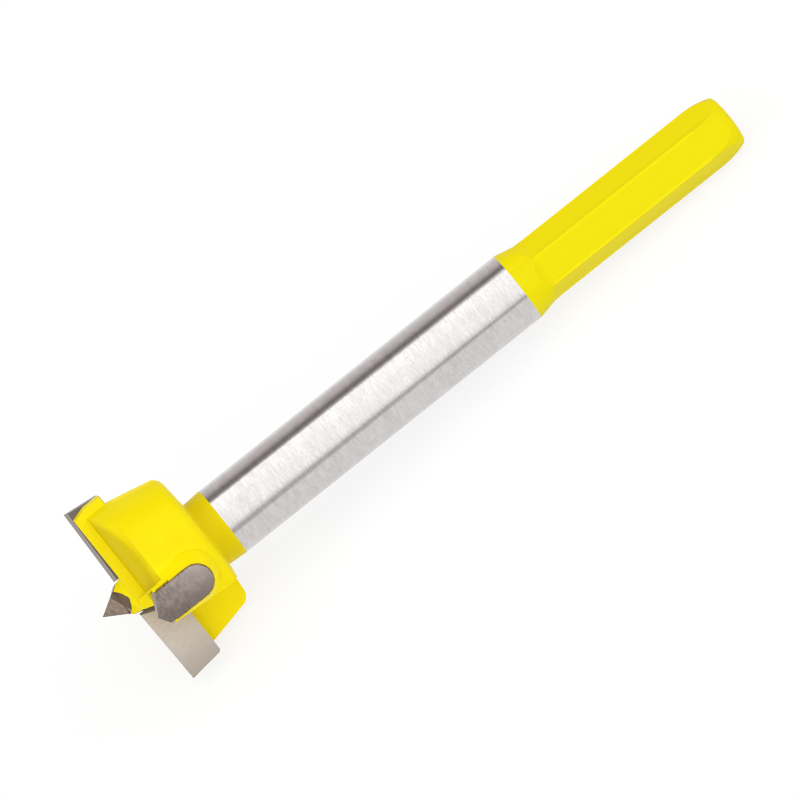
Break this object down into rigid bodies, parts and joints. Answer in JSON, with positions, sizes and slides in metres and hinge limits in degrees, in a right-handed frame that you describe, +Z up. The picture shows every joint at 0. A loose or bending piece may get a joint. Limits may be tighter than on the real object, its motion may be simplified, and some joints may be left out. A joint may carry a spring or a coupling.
{
  "type": "wood boring bit",
  "caption": "Boring bit for flat-bottomed holes in wood: centre point, flat cutting tips, side scoring tips, round ground shank and hexagonal drive end.",
  "frame": {"origin": "on the bench under the middle of the tool's bounding box, as the tool lies at rest", "axes": "+X along the tool from the centre point to the drive end, +Z up from the bench it lies on, +Y to its left"},
  "size_m": [0.1344, 0.0338, 0.0312],
  "materials": {
    "painted_steel": "glossy yellow enamel on the head, collar and drive end, bare ground steel on the shank and centre point",
    "carbide": "ground tungsten carbide",
    "scoring_carbide": "cylindrically ground tungsten carbide"
  },
  "bodies": {
    "root": {"steel_body": "painted_steel", "cutting_tip_1": "carbide", "cutting_tip_2": "carbide", "scoring_tip_1": "scoring_carbide", "scoring_tip_2": "scoring_carbide"}
  },
  "joints": []
}
